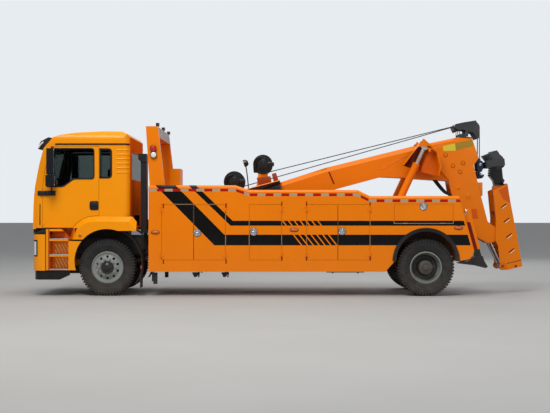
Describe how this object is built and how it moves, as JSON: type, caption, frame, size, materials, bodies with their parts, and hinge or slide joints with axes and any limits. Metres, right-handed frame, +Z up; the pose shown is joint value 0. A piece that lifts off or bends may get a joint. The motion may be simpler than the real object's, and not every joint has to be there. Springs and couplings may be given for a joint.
{
  "type": "tow truck",
  "caption": "Heavy recovery tow truck with tilting cab, locker body, luffing boom with winches and a folding rear underlift.",
  "frame": {"origin": "on the ground below the middle of the truck's bounding box", "axes": "+X forward, +Y to the truck's left, +Z up"},
  "size_m": [9.196, 2.88, 3.3],
  "materials": {
    "orange_paint": "gloss",
    "chassis_black": "satin",
    "black_steel": "satin",
    "cast_parts": "matte",
    "lamp_lens": "gloss",
    "black_rubber": "matte",
    "black_plastic": "matte",
    "tread_plate": "satin",
    "glass": "clear",
    "cab_fabric": "matte",
    "rope_steel": "satin",
    "chrome_rod": "polished",
    "tyre_rubber": "matte",
    "rim_paint": "satin"
  },
  "bodies": {
    "chassis": {"chassis_frame": "chassis_black", "subframe": "chassis_black", "driveline": "cast_parts", "axles_and_springs": "cast_parts", "front_bumper": "orange_paint", "lamps": "lamp_lens", "step_boxes": "orange_paint", "mudguards": "black_rubber", "locker_body_left": "orange_paint", "locker_body_right": "orange_paint", "deck": "tread_plate", "gantry_and_oil_tank": "orange_paint", "tanks": "chassis_black", "air_intake": "black_plastic", "stabilizer_tubes": "orange_paint"},
    "cab": {"cab_shell": "orange_paint", "cab_glass": "glass", "front_panel": "orange_paint", "sun_visor": "black_plastic", "cab_interior": "cab_fabric"},
    "boom": {"boom_arm": "orange_paint", "winches": "black_steel", "boom_head": "black_steel", "ropes_and_hooks": "rope_steel"},
    "luff_barrels": {"luff_barrels": "orange_paint"},
    "luff_rods": {"luff_rods": "chrome_rod"},
    "fold_barrels": {"fold_barrels": "black_steel"},
    "fold_rods": {"fold_rods": "chrome_rod"},
    "fold_arm": {"fold_arm": "orange_paint"},
    "inner_arm": {"inner_arm": "black_steel"},
    "crosshead": {"crosshead": "black_steel"},
    "cab_door_left": {"cab_door_left": "orange_paint", "door_glass_left": "glass"},
    "knuckle_left": {"knuckle_left": "cast_parts"},
    "front_wheel_left": {"front_tyre_left": "tyre_rubber", "front_rim_left": "rim_paint"},
    "rear_wheels_left": {"rear_tyres_left": "tyre_rubber", "rear_rims_left": "rim_paint"},
    "stabilizer_leg_left": {"stabilizer_leg_left": "black_steel"},
    "locker_door_front_a_left": {"locker_door_front_a_left": "orange_paint"},
    "locker_door_front_b_left": {"locker_door_front_b_left": "orange_paint"},
    "locker_door_middle_left": {"locker_door_middle_left": "orange_paint"},
    "locker_door_rear_a_left": {"locker_door_rear_a_left": "orange_paint"},
    "locker_door_rear_b_left": {"locker_door_rear_b_left": "orange_paint"},
    "locker_flap_left": {"locker_flap_left": "orange_paint"},
    "cab_door_right": {"cab_door_right": "orange_paint", "door_glass_right": "glass"},
    "knuckle_right": {"knuckle_right": "cast_parts"},
    "front_wheel_right": {"front_tyre_right": "tyre_rubber", "front_rim_right": "rim_paint"},
    "rear_wheels_right": {"rear_tyres_right": "tyre_rubber", "rear_rims_right": "rim_paint"},
    "stabilizer_leg_right": {"stabilizer_leg_right": "black_steel"},
    "locker_door_front_a_right": {"locker_door_front_a_right": "orange_paint"},
    "locker_door_front_b_right": {"locker_door_front_b_right": "orange_paint"},
    "locker_door_middle_right": {"locker_door_middle_right": "orange_paint"},
    "locker_door_rear_a_right": {"locker_door_rear_a_right": "orange_paint"},
    "locker_door_rear_b_right": {"locker_door_rear_b_right": "orange_paint"},
    "locker_flap_right": {"locker_flap_right": "orange_paint"}
  },
  "joints": [
    {"name": "cab_tilt", "type": "hinge", "parent": "chassis", "child": "cab", "pos_m": [4.33, 0, 0.85], "axis": [0, 1, 0], "range_deg": [0, 45]},
    {"name": "boom_luff", "type": "hinge", "parent": "chassis", "child": "boom", "pos_m": [0.25, 0, 1.65], "axis": [0, 1, 0], "range_deg": [-5, 20]},
    {"name": "luff_barrel_turn", "type": "hinge", "parent": "chassis", "child": "luff_barrels", "pos_m": [-1.73, 0, 0.7], "axis": [0, 1, 0], "range_deg": [-5, 18.5]},
    {"name": "luff_rod_slide", "type": "slide", "parent": "luff_barrels", "child": "luff_rods", "axis": [-0.421, 0, 0.9071], "range_m": [-0.2, 0.78]},
    {"name": "underlift_fold", "type": "hinge", "parent": "boom", "child": "fold_arm", "pos_m": [-4.184, 0, 0.952], "axis": [0, -1, 0], "range_deg": [0, 95]},
    {"name": "fold_barrel_turn", "type": "hinge", "parent": "boom", "child": "fold_barrels", "pos_m": [-3.565, 0, 1.849], "axis": [0, -1, 0], "range_deg": [-0.5, 20]},
    {"name": "fold_rod_slide", "type": "slide", "parent": "fold_barrels", "child": "fold_rods", "axis": [0.4451, 0, 0.8955], "range_m": [-0.01, 0.545]},
    {"name": "inner_arm_slide", "type": "slide", "parent": "fold_arm", "child": "inner_arm", "axis": [0.1045, 0, 0.9945], "range_m": [0, 0.9]},
    {"name": "crosshead_rock", "type": "hinge", "parent": "inner_arm", "child": "crosshead", "pos_m": [-4.1465, 0, 2.48], "axis": [0.9945, 0, -0.1045], "range_deg": [-25, 25]},
    {"name": "cab_door_left_swing", "type": "hinge", "parent": "cab", "child": "cab_door_left", "pos_m": [4.41, 1.149, 1.5], "axis": [0, 0, -1], "range_deg": [0, 70]},
    {"name": "steer_left", "type": "hinge", "parent": "chassis", "child": "knuckle_left", "pos_m": [3.215, 0.88, 0.522], "axis": [0, 0, 1], "range_deg": [-35, 35]},
    {"name": "front_wheel_left_roll", "type": "hinge", "parent": "knuckle_left", "child": "front_wheel_left", "pos_m": [3.215, 1.02, 0.522], "axis": [0, 1, 0], "continuous": true},
    {"name": "rear_wheels_left_roll", "type": "hinge", "parent": "chassis", "child": "rear_wheels_left", "pos_m": [-2.635, 0.925, 0.522], "axis": [0, 1, 0], "continuous": true},
    {"name": "stabilizer_left_slide", "type": "slide", "parent": "chassis", "child": "stabilizer_leg_left", "axis": [-0.2627, 0, -0.9649], "range_m": [0, 0.53]},
    {"name": "locker_front_a_left_swing", "type": "hinge", "parent": "chassis", "child": "locker_door_front_a_left", "pos_m": [2.211, 1.262, 1.17], "axis": [0, 0, -1], "range_deg": [0, 105]},
    {"name": "locker_front_b_left_swing", "type": "hinge", "parent": "chassis", "child": "locker_door_front_b_left", "pos_m": [1.038, 1.262, 1.17], "axis": [0, 0, 1], "range_deg": [0, 105]},
    {"name": "locker_middle_left_swing", "type": "hinge", "parent": "chassis", "child": "locker_door_middle_left", "pos_m": [0.011, 1.262, 1.17], "axis": [0, 0, 1], "range_deg": [0, 105]},
    {"name": "locker_rear_a_left_swing", "type": "hinge", "parent": "chassis", "child": "locker_door_rear_a_left", "pos_m": [-0.447, 1.262, 1.17], "axis": [0, 0, -1], "range_deg": [0, 105]},
    {"name": "locker_rear_b_left_swing", "type": "hinge", "parent": "chassis", "child": "locker_door_rear_b_left", "pos_m": [-1.607, 1.262, 1.17], "axis": [0, 0, 1], "range_deg": [0, 105]},
    {"name": "locker_flap_left_drop", "type": "hinge", "parent": "chassis", "child": "locker_flap_left", "pos_m": [-2.589, 1.262, 1.333], "axis": [-1, 0, 0], "range_deg": [0, 90]},
    {"name": "cab_door_right_swing", "type": "hinge", "parent": "cab", "child": "cab_door_right", "pos_m": [4.41, -1.149, 1.5], "axis": [0, 0, 1], "range_deg": [0, 70]},
    {"name": "steer_right", "type": "hinge", "parent": "chassis", "child": "knuckle_right", "pos_m": [3.215, -0.88, 0.522], "axis": [0, 0, 1], "range_deg": [-35, 35]},
    {"name": "front_wheel_right_roll", "type": "hinge", "parent": "knuckle_right", "child": "front_wheel_right", "pos_m": [3.215, -1.02, 0.522], "axis": [0, 1, 0], "continuous": true},
    {"name": "rear_wheels_right_roll", "type": "hinge", "parent": "chassis", "child": "rear_wheels_right", "pos_m": [-2.635, -0.925, 0.522], "axis": [0, 1, 0], "continuous": true},
    {"name": "stabilizer_right_slide", "type": "slide", "parent": "chassis", "child": "stabilizer_leg_right", "axis": [-0.2627, 0, -0.9649], "range_m": [0, 0.53]},
    {"name": "locker_front_a_right_swing", "type": "hinge", "parent": "chassis", "child": "locker_door_front_a_right", "pos_m": [2.211, -1.262, 1.17], "axis": [0, 0, 1], "range_deg": [0, 105]},
    {"name": "locker_front_b_right_swing", "type": "hinge", "parent": "chassis", "child": "locker_door_front_b_right", "pos_m": [1.038, -1.262, 1.17], "axis": [0, 0, -1], "range_deg": [0, 105]},
    {"name": "locker_middle_right_swing", "type": "hinge", "parent": "chassis", "child": "locker_door_middle_right", "pos_m": [0.011, -1.262, 1.17], "axis": [0, 0, -1], "range_deg": [0, 105]},
    {"name": "locker_rear_a_right_swing", "type": "hinge", "parent": "chassis", "child": "locker_door_rear_a_right", "pos_m": [-0.447, -1.262, 1.17], "axis": [0, 0, 1], "range_deg": [0, 105]},
    {"name": "locker_rear_b_right_swing", "type": "hinge", "parent": "chassis", "child": "locker_door_rear_b_right", "pos_m": [-1.607, -1.262, 1.17], "axis": [0, 0, -1], "range_deg": [0, 105]},
    {"name": "locker_flap_right_drop", "type": "hinge", "parent": "chassis", "child": "locker_flap_right", "pos_m": [-2.589, -1.262, 1.333], "axis": [1, 0, 0], "range_deg": [0, 90]}
  ],
  "couplings": [
    {"joint": "luff_barrel_turn", "follows": "boom_luff", "ratio": 0.8875},
    {"joint": "luff_rod_slide", "follows": "boom_luff", "m_per_rad": 2.1978},
    {"joint": "fold_barrel_turn", "follows": "underlift_fold", "ratio": 0.20063},
    {"joint": "fold_rod_slide", "follows": "underlift_fold", "m_per_rad": 0.32306},
    {"joint": "steer_right", "follows": "steer_left", "ratio": 1}
  ]
}
